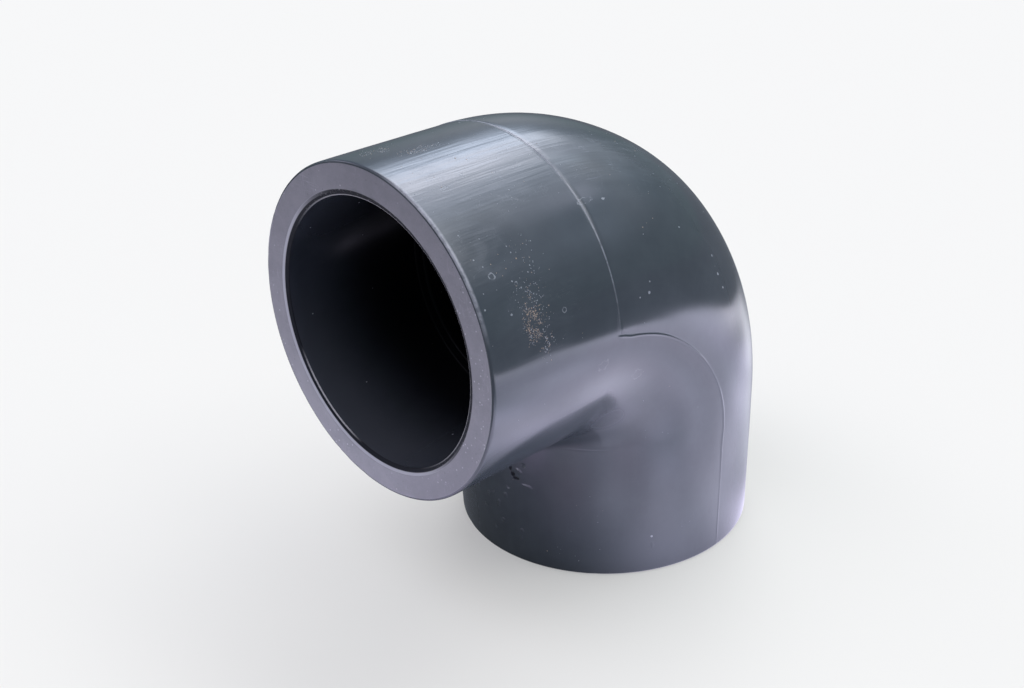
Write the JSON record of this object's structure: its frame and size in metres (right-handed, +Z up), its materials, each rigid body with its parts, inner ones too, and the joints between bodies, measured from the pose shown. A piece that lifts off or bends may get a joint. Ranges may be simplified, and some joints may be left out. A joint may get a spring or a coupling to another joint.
{
  "type": "90 degree solvent-cement elbow fitting",
  "caption": "Equal right-angle pipe elbow in dark grey rigid plastic, with plain thick-walled sockets that are cemented onto pipe ends.",
  "frame": {"origin": "centre of the bounding box's bottom, in the plane of the lower socket's end face; the two socket axes cross at (0, 0.0141, 0.0597)", "axes": "+Z up; the lower socket opens towards -Z and its axis is the vertical line x = 0, y = 0.0141; the horizontal socket opens towards -Y and its axis is the line x = 0, z = 0.0597; x = 0 is the plane of symmetry"},
  "size_m": [0.063, 0.0912, 0.0912],
  "materials": {
    "body_plastic": "semi-gloss moulded rigid plastic, dark iron grey, with fine scuffs and flow streaks; machined-looking matte end faces"
  },
  "bodies": {
    "root": {"elbow_body": "body_plastic"}
  },
  "joints": []
}
